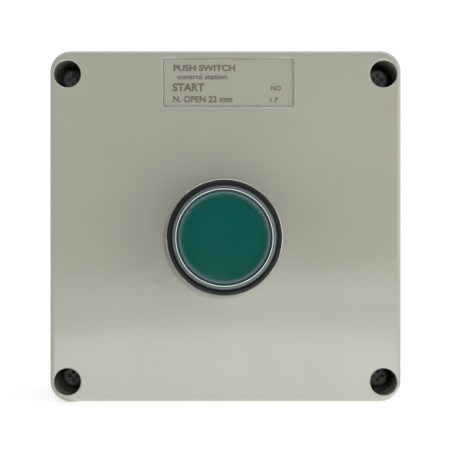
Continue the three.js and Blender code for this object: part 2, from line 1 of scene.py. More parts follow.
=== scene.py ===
"""Looks of the surface push-button station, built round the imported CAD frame.

Lengths are millimetres in the frame's axes: +X right, +Y into the wall, +Z up, and the button faces
-Y. MM turns them into Blender's metres when a mesh is made. Only the lights are given in metres.
"""

import json
import math

import bmesh
import bpy
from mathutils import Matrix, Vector


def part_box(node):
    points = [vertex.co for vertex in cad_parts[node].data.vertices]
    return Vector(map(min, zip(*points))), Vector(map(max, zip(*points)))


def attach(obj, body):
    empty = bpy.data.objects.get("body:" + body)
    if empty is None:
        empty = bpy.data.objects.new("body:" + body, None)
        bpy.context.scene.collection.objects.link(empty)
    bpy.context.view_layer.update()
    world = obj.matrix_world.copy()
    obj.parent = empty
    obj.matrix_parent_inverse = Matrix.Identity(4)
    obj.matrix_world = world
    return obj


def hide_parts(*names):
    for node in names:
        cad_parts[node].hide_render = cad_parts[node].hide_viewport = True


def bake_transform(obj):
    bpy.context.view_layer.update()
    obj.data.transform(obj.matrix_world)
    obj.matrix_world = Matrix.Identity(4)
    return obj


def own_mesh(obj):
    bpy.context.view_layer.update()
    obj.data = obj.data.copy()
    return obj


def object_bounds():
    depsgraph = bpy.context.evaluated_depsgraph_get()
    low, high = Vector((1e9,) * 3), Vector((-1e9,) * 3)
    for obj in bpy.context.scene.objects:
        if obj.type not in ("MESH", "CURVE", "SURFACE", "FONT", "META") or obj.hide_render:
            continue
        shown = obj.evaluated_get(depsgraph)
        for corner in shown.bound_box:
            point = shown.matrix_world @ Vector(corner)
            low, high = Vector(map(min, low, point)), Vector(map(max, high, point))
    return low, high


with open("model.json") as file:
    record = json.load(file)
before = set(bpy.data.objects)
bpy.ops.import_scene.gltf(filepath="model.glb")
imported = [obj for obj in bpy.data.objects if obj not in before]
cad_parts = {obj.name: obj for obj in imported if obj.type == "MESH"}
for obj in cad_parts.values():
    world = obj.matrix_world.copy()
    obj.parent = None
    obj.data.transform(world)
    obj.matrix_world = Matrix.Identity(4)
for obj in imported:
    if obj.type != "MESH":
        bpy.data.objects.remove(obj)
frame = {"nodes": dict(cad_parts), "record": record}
CAD_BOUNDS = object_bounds()

MM = 0.001
CORNERS = ("top_left", "top_right", "bottom_left", "bottom_right")


class Box:
    """A CAD node's box at rest, in millimetres."""

    def __init__(self, node):
        self.lo, self.hi = (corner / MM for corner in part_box(node))
        self.mid = (self.lo + self.hi) / 2
        self.size = self.hi - self.lo
        self.axis = (self.mid.x, self.mid.z)  # where its axis along Y lies, as (x, z)


COVER = Box("front_cover")
BASE = Box("enclosure_base")
CAP = Box("button_cap")
BEZEL = Box("bezel_body")
RING = Box("boot_ring")
BOOT = Box("clear_boot")
PLUG = Box("conduit_plug")

FRONT = COVER.lo.y
SEAM = COVER.hi.y
RIM = BASE.lo.y
SIZE = COVER.size.x
BUTTON = CAP.axis
SCREWS = {corner: Box("cover_screw_" + corner) for corner in CORNERS}

CORNER_RADIUS = 6.0
FRONT_ROUNDING = 1.3
BACK_ROUNDING = 1.2
BACK_TAPER = 0.985  # the back's width as a share of the rim's
WALL = 3.0
INSIDE = SIZE - 2 * WALL
POST_RADIUS = 6.3
WELL_RADIUS = 3.9
WELL_CHAMFER = 0.3
WELL_FLOOR = Box("screw_seal_top_left").hi.y
BORE_RADIUS = 2.3  # the cover screws' clearance
SHANK_RADIUS = 1.9
SLOT_LENGTH, SLOT_WIDTH = 10.0, 5.5
ENTRY_Y = PLUG.mid.y
ENTRY_RADIUS = 12.5
BOSS_RADIUS = 15.8
BOSS_LENGTH = 12.0

# The push-button operator, as radii from its axis
STEM = 5.1
STEM_BORE = 5.4
BARREL_BORE = 9.0
THREAD = 11.0  # of the barrel
PANEL_HOLE = 11.25
CLAMP_BORE = 11.3  # of the gasket, washer and nut round the thread
BOOT_BORE = 13.7  # of the boot's clamped flange and the bezel's neck behind it
NECK = 15.3  # the outside of that neck


# Camera: straight at the cover, half a metre away.

CAMERA_X, CAMERA_Z = -0.14, 0.42  # a hair left of and above the cover's middle
CAMERA_DISTANCE = 500.0
VIEW_WIDTH = 129.4  # how much of the cover's plane the picture is wide
SENSOR = 36.0


def make_camera():
    data = bpy.data.cameras.new("camera")
    data.sensor_width = SENSOR
    data.lens = SENSOR * CAMERA_DISTANCE / VIEW_WIDTH
    data.clip_start = 0.01
    data.clip_end = 20
    camera = bpy.data.objects.new("camera", data)
    camera.location = Vector((CAMERA_X, FRONT - CAMERA_DISTANCE, CAMERA_Z)) * MM
    camera.rotation_euler = (math.radians(90), 0, 0)
    bpy.context.scene.collection.objects.link(camera)
    bpy.context.scene.camera = camera


# Mesh making


def new_object(name, bm):
    """An object from a bmesh whose coordinates are in millimetres."""
    bmesh.ops.recalc_face_normals(bm, faces=bm.faces)
    mesh = bpy.data.meshes.new(name)
    bm.to_mesh(mesh)
    bm.free()
    mesh.transform(((MM, 0, 0, 0), (0, MM, 0, 0), (0, 0, MM, 0), (0, 0, 0, 1)))
    made = bpy.data.objects.new(name, mesh)
    bpy.context.scene.collection.objects.link(made)
    return made


def rounded(corners, steps=5):
    """A closed outline with its corners rounded. Each corner is (radius, y) or (radius, y, rounding)."""
    outline = []
    count = len(corners)
    for i, corner in enumerate(corners):
        here = Vector(corner[:2])
        rounding = corner[2] if len(corner) > 2 else 0
        if rounding == 0:
            outline.append(tuple(here))
            continue
        back = Vector(corners[i - 1][:2]) - here
        ahead = Vector(corners[(i + 1) % count][:2]) - here
        half = back.angle(ahead) / 2
        reach = rounding / math.tan(half)
        centre = here + (back.normalized() + ahead.normalized()).normalized() * rounding / math.sin(half)
        start = here + back.normalized() * reach - centre
        end = here + ahead.normalized() * reach - centre
        turn = start.angle_signed(end)
        for step in range(steps + 1):
            angle = -turn * step / steps
            cos, sin = math.cos(angle), math.sin(angle)
            x = centre.x + start.x * cos - start.y * sin
            y = centre.y + start.x * sin + start.y * cos
            outline.append((x, y))
    return outline


def turned(name, outline, centre=BUTTON, along_z=False, segments=96):
    """A solid of revolution. The closed outline is (radius, level) pairs, and the axis runs along Y
    through centre = (x, z), or along Z through centre = (x, y)."""
    bm = bmesh.new()
    rings = []
    for radius, level in outline:
        ring = []
        for i in range(segments if radius > 1e-6 else 1):
            angle = 2 * math.pi * i / segments
            u = centre[0] + radius * math.cos(angle)
            v = centre[1] + radius * math.sin(angle)
            ring.append(bm.verts.new((u, v, level) if along_z else (u, level, v)))
        rings.append(ring)
    for here, ahead in zip(rings, rings[1:] + rings[:1]):
        for i in range(segments):
            a, b = here[i % len(here)], here[(i + 1) % len(here)]
            c, d = ahead[(i + 1) % len(ahead)], ahead[i % len(ahead)]
            corners = list(dict.fromkeys((a, b, c, d)))
            if len(corners) > 2:
                bm.faces.new(corners)
    return new_object(name, bm)


def cylinder(name, radius, near, far, centre, segments=96):
    """A plain cylinder along Y, for a post or a hole."""
    return turned(name, [(0, near), (radius, near), (radius, far), (0, far)], centre, segments=segments)


def flat_ring(inner, outer, near, far, inner_rounding, outer_rounding):
    """The outline of a flat ring with rounded edges."""
    return rounded([
        (inner, near, inner_rounding),
        (outer, near, outer_rounding),
        (outer, far, outer_rounding),
        (inner, far, inner_rounding),
    ])


def rounded_rectangle(width, height, radius, centre=(0, 0), steps=10):
    """The corners of a rounded rectangle as (x, z) pairs."""
    outline = []
    for quarter, (sx, sz) in enumerate(((1, 1), (-1, 1), (-1, -1), (1, -1))):
        x = centre[0] + sx * (width / 2 - radius)
        z = centre[1] + sz * (height / 2 - radius)
        for step in range(steps + 1):
            angle = math.radians(90 * (quarter + step / steps))
            outline.append((x + radius * math.cos(angle), z + radius * math.sin(angle)))
    return outline


def lofted(name, layers):
    """A solid through layers of (outline, y), where each outline has the same number of (x, z) pairs."""
    bm = bmesh.new()
    rings = [[bm.verts.new((x, y, z)) for x, z in outline] for outline, y in layers]
    for here, ahead in zip(rings, rings[1:]):
        for i in range(len(here)):
            j = (i + 1) % len(here)
            bm.faces.new((here[i], here[j], ahead[j], ahead[i]))
    bm.faces.new(rings[0])
    bm.faces.new(rings[-1])
    return new_object(name, bm)


def block(name, x0, x1, y0, y1, z0, z1, rounding=0.0):
    """A box, with a bevel on all its edges if rounding is set."""
    bm = bmesh.new()
    bmesh.ops.create_cube(bm, size=1)
    for vertex in bm.verts:
        vertex.co = (
            x0 + (x1 - x0) * (vertex.co.x + 0.5),
            y0 + (y1 - y0) * (vertex.co.y + 0.5),
            z0 + (z1 - z0) * (vertex.co.z + 0.5),
        )
    if rounding:
        bmesh.ops.bevel(bm, geom=list(bm.edges), offset=rounding, segments=3, profile=0.5, affect="EDGES")
    return new_object(name, bm)


def swept(name, points, radius, sides=12):
    """A round wire along points, with flat ends."""
    bm = bmesh.new()
    rings = []
    for i, point in enumerate(points):
        ahead = (points[min(i + 1, len(points) - 1)] - points[max(i - 1, 0)]).normalized()
        side = ahead.cross(Vector((0, 1, 0))).normalized()
        up = side.cross(ahead)
        angles = [2 * math.pi * k / sides for k in range(sides)]
        rings.append(
            [bm.verts.new(point + (side * math.cos(a) + up * math.sin(a)) * radius) for a in angles]
        )
    for here, ahead in zip(rings, rings[1:]):
        for k in range(sides):
            bm.faces.new((here[k], here[(k + 1) % sides], ahead[(k + 1) % sides], ahead[k]))
    bm.faces.new(rings[0])
    bm.faces.new(rings[-1])
    return new_object(name, bm)


def combine(target, others, operation):
    """Joins, cuts or intersects target with the other objects, which are used up."""
    for other in others:
        modifier = target.modifiers.new("combine", "BOOLEAN")
        modifier.operation = operation
        modifier.solver = "EXACT"
        modifier.object = other
        evaluated = target.evaluated_get(bpy.context.evaluated_depsgraph_get())
        mesh = bpy.data.meshes.new_from_object(evaluated)
        target.modifiers.clear()
        target.data = mesh
        bpy.data.objects.remove(other)
    return target


def cut(target, *cutters):
    return combine(target, cutters, "DIFFERENCE")


def join(target, *others):
    return combine(target, others, "UNION")


def shade(piece, angle):
    """Smooth shading with edges over the angle kept sharp, and normals weighted so that flat faces
    stay flat."""
    bm = bmesh.new()
    bm.from_mesh(piece.data)
    bmesh.ops.remove_doubles(bm, verts=bm.verts, dist=1e-7)
    for face in bm.faces:
        face.smooth = True
    for edge in bm.edges:
        edge.smooth = edge.is_manifold and edge.calc_face_angle(0) < math.radians(angle)
    bm.to_mesh(piece.data)
    bm.free()
    weighted = piece.modifiers.new("weighted_normals", "WEIGHTED_NORMAL")
    weighted.keep_sharp = True


# Materials


class Shader:
    """A Principled material under construction, with short ways to add procedural detail."""

    def __init__(self, name):
        self.material = bpy.data.materials.new(name)
        self.material.use_nodes = True
        self.tree = self.material.node_tree
        self.bsdf = self.tree.nodes["Principled BSDF"]
        self.coordinates = self.node("ShaderNodeTexCoord").outputs["Object"]

    def node(self, kind, **settings):
        made = self.tree.nodes.new(kind)
        for key, value in settings.items():
            setattr(made, key, value)
        return made

    def link(self, output, node, socket):
        self.tree.links.new(output, node.inputs[socket])

    def noise(self, scale, detail=3.0, roughness=0.5, stretch=(1, 1, 1)):
        """Noise with about scale cells to the metre."""
        mapping = self.node("ShaderNodeMapping")
        mapping.inputs["Scale"].default_value = stretch
        self.link(self.coordinates, mapping, "Vector")
        made = self.node("ShaderNodeTexNoise")
        made.inputs["Scale"].default_value = scale
        made.inputs["Detail"].default_value = detail
        made.inputs["Roughness"].default_value = roughness
        self.link(mapping.outputs["Vector"], made, "Vector")
        return made.outputs["Fac"]

    def spread(self, value, low, high, start=0.3, end=0.7):
        """Maps value from start..end to low..high."""
        made = self.node("ShaderNodeMapRange")
        made.inputs["From Min"].default_value = start
        made.inputs["From Max"].default_value = end
        made.inputs["To Min"].default_value = low
        made.inputs["To Max"].default_value = high
        self.link(value, made, "Value")
        return made.outputs["Result"]

    def mix(self, amount, first, second):
        """Mixes two colours, each a colour or a node's output."""
        made = self.node("ShaderNodeMix", data_type="RGBA")
        self.link(amount, made, 0)
        for socket, colour in ((6, first), (7, second)):
            if isinstance(colour, tuple):
                made.inputs[socket].default_value = (*colour, 1)
            else:
                self.link(colour, made, socket)
        return made.outputs[2]

    def bump(self, height, distance, below=None):
        """Bump from a height, distance in millimetres, on top of an earlier bump."""
        made = self.node("ShaderNodeBump")
        made.inputs["Distance"].default_value = distance * MM
        self.link(height, made, "Height")
        if below is not None:
            self.link(below, made, "Normal")
        return made.outputs["Normal"]

    def edges(self, width, start=0.02, end=0.2):
        """How close a point is to a sharp edge: 0 on flats, 1 on edges, within width millimetres."""
        bevel = self.node("ShaderNodeBevel", samples=4)
        bevel.inputs["Radius"].default_value = width * MM
        geometry = self.node("ShaderNodeNewGeometry")
        dot = self.node("ShaderNodeVectorMath", operation="DOT_PRODUCT")
        self.link(bevel.outputs["Normal"], dot, 0)
        self.link(geometry.outputs["Normal"], dot, 1)
        return self.spread(dot.outputs["Value"], 1, 0, 1 - end, 1 - start)

    def radius_about(self, centre):
        """Distance from the axis through centre = (x, z), in millimetres."""
        offset = self.node("ShaderNodeVectorMath", operation="SUBTRACT")
        offset.inputs[1].default_value = (centre[0] * MM, 0, centre[1] * MM)
        self.link(self.coordinates, offset, 0)
        flat = self.node("ShaderNodeVectorMath", operation="MULTIPLY")
        flat.inputs[1].default_value = (1 / MM, 0, 1 / MM)
        self.link(offset.outputs["Vector"], flat, 0)
        length = self.node("ShaderNodeVectorMath", operation="LENGTH")
        self.link(flat.outputs["Vector"], length, 0)
        return length.outputs["Value"]

    def ramp(self, value, stops):
        """A colour ramp over value. Each stop is (value, colour) with rising values."""
        low, high = stops[0][0], stops[-1][0]
        made = self.node("ShaderNodeValToRGB")
        elements = made.color_ramp.elements
        for _ in stops[2:]:
            elements.new(0.5)
        for element, (at, colour) in zip(elements, stops):
            element.position = (at - low) / (high - low)
            element.color = (*colour, 1)
        self.link(self.spread(value, 0, 1, low, high), made, "Fac")
        return made.outputs["Color"]


def shades(colour, factor):
    return tuple(min(1.0, channel * factor) for channel in colour)


def moulded_plastic(name, colour, gloss, peel=0.02, grain=0.006, edge_wear_and_highlight=0.25, shine=0.5):
    """Moulded plastic: cloudy tone, orange peel, fine grain, and sharp edges painted lighter in patches,
    partly as worn edges and partly as a painted highlight along them.
    """
    shader = Shader(name)
    shader.bsdf.inputs["Specular IOR Level"].default_value = shine
    cloud = shader.spread(shader.noise(28, 4, 0.6), 0, 1, 0.35, 0.65)
    tone = shader.mix(cloud, shades(colour, 0.975), shades(colour, 1.02))
    speck = shader.spread(shader.noise(2600, 2, 0.6), 0, 1, 0.62, 0.72)
    tone = shader.mix(speck, tone, shades(colour, 0.93))
    # Sharp edges painted lighter: part worn edges, part a painted highlight that stands in for edges
    # catching the light.
    rubbed_and_highlit = shader.node("ShaderNodeMath", operation="MULTIPLY")
    shader.link(shader.edges(0.5), rubbed_and_highlit, 0)
    shader.link(shader.spread(shader.noise(160, 3, 0.6), 0, edge_wear_and_highlight, 0.4, 0.65), rubbed_and_highlit, 1)
    tone = shader.mix(rubbed_and_highlit.outputs["Value"], tone, shades(colour, 1.5))
    shader.link(tone, shader.bsdf, "Base Color")
    smear = shader.noise(60, 4, 0.65, (1, 1, 0.35))
    shader.link(shader.spread(smear, gloss * 0.85, gloss * 1.3), shader.bsdf, "Roughness")
    fine = shader.bump(shader.noise(2400, 2, 0.5), grain)
    shader.link(shader.bump(shader.noise(260, 2, 0.5), peel, fine), shader.bsdf, "Normal")
    return shader.material


def rubber(name, colour):
    """Black rubber: matte, slightly dusty in patches."""
    shader = Shader(name)
    dust = shader.spread(shader.noise(420, 5, 0.7), 0, 1, 0.5, 0.75)
    shader.link(shader.mix(dust, colour, shades(colour, 2.2)), shader.bsdf, "Base Color")
    shader.link(shader.spread(dust, 0.6, 0.85, 0, 1), shader.bsdf, "Roughness")
    shader.link(shader.bump(shader.noise(1800, 3, 0.6), 0.02), shader.bsdf, "Normal")
    return shader.material


def metal(name, colour, gloss, stretch=(1, 1, 1), tarnish=0.12, scratches=0.004, bareness=1):
    """Metal: a fine grain, which a stretch below 1 draws out into lines along that axis, and a cloudy
    tarnish. A dusty surface has a bareness below 1."""
    shader = Shader(name)
    shader.bsdf.inputs["Metallic"].default_value = bareness
    cloud = shader.spread(shader.noise(180, 4, 0.6), 0, 1)
    shader.link(shader.mix(cloud, colour, shades(colour, 1 - tarnish)), shader.bsdf, "Base Color")
    grain = shader.noise(900, 3, 0.6, stretch)
    shader.link(shader.spread(grain, gloss * 0.8, gloss * 1.35), shader.bsdf, "Roughness")
    shader.link(shader.bump(grain, scratches), shader.bsdf, "Normal")
    return shader.material


def clear_silicone(name):
    """Clear silicone: refracts over the cap, and is milky where it's thick, at the rim and in the wall. Its
    tint also paints light and shade in rings round the axis: a painted highlight on the rim's crest, and
    painted shade beside it and where the wall meets the ring. The haze begins unevenly over the cap's edge."""
    shader = Shader(name)
    shader.bsdf.inputs["IOR"].default_value = 1.25
    radius = shader.radius_about(BUTTON)
    uneven = shader.node("ShaderNodeMath", operation="MULTIPLY_ADD")
    shader.link(shader.spread(shader.noise(1100, 4, 0.6), -1, 1), uneven, 0)
    shader.link(shader.spread(radius, 0.12, 0, 12.2, 12.8), uneven, 1)
    shader.link(radius, uneven, 2)
    place = uneven.outputs["Value"]
    clearness = shader.ramp(place, [(at, (share, share, share)) for at, share in CLEARNESS])
    shader.link(clearness, shader.bsdf, "Transmission Weight")
    # Painted light and shade: this ramp lays highlight and shade rings into the boot's colour.
    shader.link(shader.ramp(place, SILICONE_TINT_AND_PAINTED_LIGHT), shader.bsdf, "Base Color")
    shader.link(shader.spread(shader.noise(90, 4, 0.6), 0.03, 0.07), shader.bsdf, "Roughness")
    shader.link(shader.bump(shader.noise(500, 2, 0.5), 0.006), shader.bsdf, "Normal")
    return shader.material


def printed_ink(name, colour):
    """Printed lettering: slightly uneven coverage and a drier surface than the plastic."""
    shader = Shader(name)
    cover = shader.spread(shader.noise(2200, 4, 0.7), 0, 1, 0.35, 0.6)
    shader.link(shader.mix(cover, shades(colour, 1.2), colour), shader.bsdf, "Base Color")
    shader.link(shader.spread(cover, 0.5, 0.4, 0, 1), shader.bsdf, "Roughness")
    shader.link(shader.bump(cover, 0.004), shader.bsdf, "Normal")
    return shader.material


# How clear the boot is, by the distance from the button's axis: 1 is clear and 0 is opaque. It drops where
# the tint below paints its highlight and shade rings, so that they show.
CLEARNESS = (
    (11.2, 1.0),
    (11.5, 0.99),
    (11.75, 0.95),
    (12.0, 0.85),
    (12.3, 0.65),
    (13.4, 0.35),
    (13.5, 0.35),
    (13.55, 0.1),
    (13.67, 0.1),
    (13.73, 0.2),
    (14.1, 0.2),
    (14.24, 0.4),
    (15.0, 0.6),
)
# The boot's tint, by the same distance, partly milky silicone and partly painted light and shade: from the
# cap's edge to dark painted shade, a white painted highlight on the rim's crest, a fainter painted
# highlight and grey at the shoulder of the wall, and dark painted shade again where it meets the ring.
SILICONE_TINT_AND_PAINTED_LIGHT = (
    (11.2, (0.84, 0.94, 0.95)),
    (11.5, (0.5, 0.95, 0.95)),
    (11.75, (0.24, 0.62, 0.62)),
    (12.0, (0.14, 0.35, 0.35)),
    (12.3, (0.12, 0.24, 0.25)),
    (12.55, (0.19, 0.34, 0.36)),
    (12.85, (0.12, 0.19, 0.2)),
    (12.97, (0.03, 0.05, 0.055)),
    (13.5, (0.02, 0.04, 0.045)),
    (13.55, (0.88, 0.98, 1.0)),
    (13.67, (0.88, 0.98, 1.0)),
    (13.73, (0.08, 0.1, 0.11)),
    (14.1, (0.08, 0.1, 0.11)),
    (14.24, (0.42, 0.47, 0.49)),
    (14.38, (0.22, 0.26, 0.27)),
    (14.6, (0.14, 0.16, 0.167)),
    (14.8, (0.08, 0.09, 0.094)),
    (15.0, (0.03, 0.04, 0.045)),
)

GREY = (0.335, 0.335, 0.28)
BLACK = (0.016, 0.018, 0.016)
CAP_GREEN = (0.0015, 0.112, 0.087)
BLOCK_GREEN = (0.03, 0.15, 0.06)
BLOCK_GREY = (0.04, 0.055, 0.05)
# The cover screws' zinc is darkened, partly as aged zinc and partly as painted shade for the shade deep in
# their wells.
AGED_AND_SHADED = (0.14, 0.145, 0.128)
EVEN = (1, 1, 1)  # a grain that runs no particular way
DRAWN = (1, 0.05, 1)  # lines that run along Y
MATERIALS = {
    # The grey plastic's edges get the strongest painted highlight, which paints the light lines round the
    # label recess.
    "grey_plastic": moulded_plastic("grey_plastic", GREY, 0.07, edge_wear_and_highlight=0.6, shine=0.75),
    "black_rubber": rubber("black_rubber", (0.02, 0.02, 0.02)),
    "black_plastic": moulded_plastic("black_plastic", BLACK, 0.25, edge_wear_and_highlight=0.5, shine=0.1),
    "chrome": metal("chrome", (0.66, 0.67, 0.67), 0.08, DRAWN, tarnish=0.1, scratches=0.001),
    "clear_silicone": clear_silicone("clear_silicone"),
    "green_plastic": moulded_plastic("green_plastic", CAP_GREEN, 0.12, edge_wear_and_highlight=0.1, shine=0.1),
    "zinc_steel": metal("zinc_steel", (0.42, 0.42, 0.39), 0.3, EVEN, tarnish=0.3, scratches=0.01),
    "aged_and_shaded_zinc": metal("aged_and_shaded_zinc", AGED_AND_SHADED, 0.4, EVEN, tarnish=0.4, scratches=0.02, bareness=0.2),
    "spring_steel": metal("spring_steel", (0.45, 0.45, 0.44), 0.25, EVEN, tarnish=0.2),
    "brass": metal("brass", (0.62, 0.44, 0.18), 0.28, (1, 0.2, 1), tarnish=0.25),
    "silver_contact": metal("silver_contact", (0.75, 0.74, 0.71), 0.2, EVEN, tarnish=0.2),
    "block_plastic": moulded_plastic("block_plastic", BLOCK_GREEN, 0.38),
    "block_cover_plastic": moulded_plastic("block_cover_plastic", BLOCK_GREY, 0.34),
    "white_plastic": moulded_plastic("white_plastic", (0.68, 0.68, 0.64), 0.35),
    "label_ink": printed_ink("label_ink", (0.1, 0.096, 0.07)),
}


def dress(piece, slot, nodes, body="enclosure", angle=34, material=None):
    """Shades a piece, gives it its slot's material or the one named, and fastens it to its CAD
    body."""
    shade(piece, angle)
    piece.data.materials.clear()
    piece.data.materials.append(MATERIALS[material or slot])
    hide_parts(*nodes)
    if body:
        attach(piece, body)


# Enclosure


def box_layers(size, radius, stages):
    """Layers of a square outline. Each stage is (y, inset)."""
    return [
        (rounded_rectangle(size - 2 * inset, size - 2 * inset, max(radius - inset, 0.3)), y)
        for y, inset in stages
    ]


def quarter_stages(edge, rounding, direction, inset=0.0, steps=6):
    """Stages that round an edge at level edge, from the side wall over to the flat face."""
    stages = []
    for step in range(steps + 1):
        angle = math.radians(90 * step / steps)
        y = edge + direction * rounding * (1 - math.sin(angle))
        stages.append((y, inset + rounding * (1 - math.cos(angle))))
    return stages


def posts(near, far):
    """The four screw posts between two levels."""
    return [cylinder("post", POST_RADIUS, near, far, screw.axis) for screw in SCREWS.values()]


def cover_cavity():
    """The hollow behind the cover's face, without the four screw posts."""
    floor = FRONT + WALL
    stages = [(SEAM + 1, 0)] + quarter_stages(floor, 1.0, 1)
    cavity = lofted("cavity", box_layers(INSIDE, CORNER_RADIUS / 2, stages))
    return cut(cavity, *posts(floor - 1, SEAM + 2))


def screw_well(screw):
    """A deep hole with a chamfered mouth and the screw's clearance bore behind its floor."""
    mouth = WELL_RADIUS + WELL_CHAMFER
    outline = rounded([
        (0, FRONT - 1), (mouth, FRONT - 1), (mouth, FRONT), (WELL_RADIUS, FRONT + WELL_CHAMFER * 0.9),
        (WELL_RADIUS, WELL_FLOOR, 0.15), (BORE_RADIUS, WELL_FLOOR), (BORE_RADIUS, SEAM + 1), (0, SEAM + 1),
    ])
    return turned("well", outline, screw.axis)


LABEL_SIZE = (37.2, 13.6)
LABEL_PLACE = next(m for m in frame["record"]["mounts"] if m["name"] == "label_recess")["pos_m"]
LABEL_CENTRE = (LABEL_PLACE[0] / MM, LABEL_PLACE[2] / MM)
LABEL_FLOOR = LABEL_PLACE[1] / MM


def label_layer(y, grow, radius):
    """The label recess's outline at a level, larger all round by grow."""
    width, height = LABEL_SIZE
    return rounded_rectangle(width + 2 * grow, height + 2 * grow, radius, LABEL_CENTRE, 5), y


def label_cutter():
    """The recess for the rating label, with a bevelled mouth and a fine groove round its floor."""
    mouth = ((FRONT - 0.5, 0.45), (FRONT, 0.45), (FRONT + 0.22, 0.2), (LABEL_FLOOR, 0.15))
    recess = lofted("label_recess", [label_layer(y, grow, 0.3 + grow) for y, grow in mouth])
    groove = [
        lofted("groove", [label_layer(LABEL_FLOOR + side * reach, grow, 0.3) for side in (-1, 1)])
        for grow, reach in ((0.15, 0.3), (-0.15, 0.6))
    ]
    return join(recess, cut(*groove))


def make_cover():
    stages = [(SEAM, 0.25), (SEAM - 0.25, 0)] + quarter_stages(FRONT, FRONT_ROUNDING, 1)
    cover = lofted("cover_shell", box_layers(SIZE, CORNER_RADIUS, stages))
    hole = cylinder("hole", PANEL_HOLE, FRONT - 1, FRONT + 6, BUTTON)
    wells = [screw_well(screw) for screw in SCREWS.values()]
    cut(cover, cover_cavity(), *wells, hole, label_cutter())
    dress(cover, "grey_plastic", ["front_cover"])


def entry_thread(level, end, radius, depth, pitch=1.5):
    """Profile points of a thread from level to end, whose ridges rise by depth above the radius."""
    points = []
    step = pitch if end > level else -pitch
    while abs(end - level) > pitch:
        points += [(radius, level + step * 0.1), (radius + depth, level + step * 0.45)]
        points += [(radius + depth, level + step * 0.55), (radius, level + step * 0.9)]
        level += step
    return points


def conduit_entry(sign):
    """The threaded hole through a conduit boss, as a cutter."""
    outer = sign * (SIZE / 2 + 1)
    inner = sign * (SIZE / 2 - BOSS_LENGTH - 1)
    start = sign * (SIZE / 2 - 1)
    mouth, bore = ENTRY_RADIUS + 0.9, ENTRY_RADIUS - 0.15
    outline = [(0, outer), (mouth, outer), (mouth, sign * SIZE / 2), (bore, start)]
    outline += entry_thread(start, inner, bore, 0.45)
    outline += [(bore, inner), (0, inner)]
    return turned("entry", outline, (0, ENTRY_Y), True)


def conduit_boss(sign):
    outer = sign * SIZE / 2
    inner = sign * (SIZE / 2 - BOSS_LENGTH)
    corners = [(0, outer), (BOSS_RADIUS, outer, 0.3), (BOSS_RADIUS, inner, 0.5), (0, inner)]
    return turned("boss", rounded(corners), (0, ENTRY_Y), True)


def wall_slot(centre):
    """A fixing slot through the back wall, widened at both ends."""
    layers = []
    for y, grow in ((1, 0.5), (0, 0.5), (-0.5, 0), (-WALL + 0.5, 0), (-WALL, 0.5), (-WALL - 1, 0.5)):
        length, width = SLOT_LENGTH + 2 * grow, SLOT_WIDTH + 2 * grow
        layers.append((rounded_rectangle(length, width, width / 2 - 0.01, centre, 8), y))
    return lofted("slot", layers)


def wall_slots():
    """Cutters for the four fixing slots, centred where the record's openings put them."""
    slots = []
    for opening in frame["record"]["physics"]["openings"]:
        if opening["name"].startswith("wall_slot"):
            low, high = (Vector(corner) / MM for corner in opening["box_m"])
            middle = (low + high) / 2
            slots.append(wall_slot((middle.x, middle.z)))
    return slots


def base_cavity():
    """The base's hollow, without the screw posts and the conduit bosses."""
    taper = 0.35
    stages = [(RIM - 1, 0), (-WALL - 1.5, taper)] + quarter_stages(-WALL, BACK_ROUNDING, -1, taper)
    cavity = lofted("cavity", box_layers(INSIDE, CORNER_RADIUS / 2, stages))
    return cut(cavity, *posts(RIM - 2, -WALL + 1), conduit_boss(1), conduit_boss(-1))


def insert_pocket(screw):
    """The countersunk pocket for a brass insert, and the bore behind it."""
    insert = Box("brass_insert_top_left")
    radius = insert.size.x / 2 + 0.15
    end = insert.hi.y + 4
    outline = [
        (0, RIM - 1), (radius + 0.3, RIM - 1), (radius + 0.3, RIM), (radius, RIM + 0.3),
        (radius, insert.hi.y), (BORE_RADIUS, insert.hi.y), (BORE_RADIUS, end), (0, end),
    ]
    return turned("pocket", outline, screw.axis, segments=48)


def rear_entry_ring():
    """The thin ring in the back that marks where a rear cable entry is cut out."""
    outer = ENTRY_RADIUS + 0.8
    outline = rounded([(ENTRY_RADIUS, 1), (outer, 1), (outer, -1.2, 0.3), (ENTRY_RADIUS, -1.2, 0.3)])
    return turned("rear_ring", outline, (0, 0))


def make_base():
    taper = SIZE / 2 * (1 - BACK_TAPER)
    stages = [(RIM, 0.25), (RIM + 0.25, 0)]
    stages += [(RIM * (1 - share) - BACK_ROUNDING * share, taper * share) for share in (0.25, 0.5, 0.75)]
    stages += quarter_stages(0, BACK_ROUNDING, -1, taper)
    base = lofted("base_tray", box_layers(SIZE, CORNER_RADIUS, stages))
    join(base, conduit_boss(1), conduit_boss(-1))
    pockets = [insert_pocket(screw) for screw in SCREWS.values()]
    entries = [conduit_entry(1), conduit_entry(-1)]
    cut(base, base_cavity(), *entries, *pockets, *wall_slots(), rear_entry_ring())
    dress(base, "grey_plastic", ["enclosure_base"])


def make_gasket():
    box = Box("cover_gasket")
    front, back = box.lo.y, box.hi.y
    bead = [(back, 0.2), (back - 0.2, 0), (front + 0.2, 0), (front, 0.2)]
    gasket = lofted("gasket_frame", box_layers(box.size.x, CORNER_RADIUS, bead))
    hollow = lofted("hollow", box_layers(INSIDE, CORNER_RADIUS / 2, [(back + 1, 0), (front - 1, 0)]))
    cut(hollow, *posts(front - 2, back + 2))
    holes = [
        cylinder("hole", BORE_RADIUS, front - 1, back + 1, screw.axis, segments=48)
        for screw in SCREWS.values()
    ]
    cut(gasket, hollow, *holes)
    dress(gasket, "black_rubber", ["cover_gasket"])


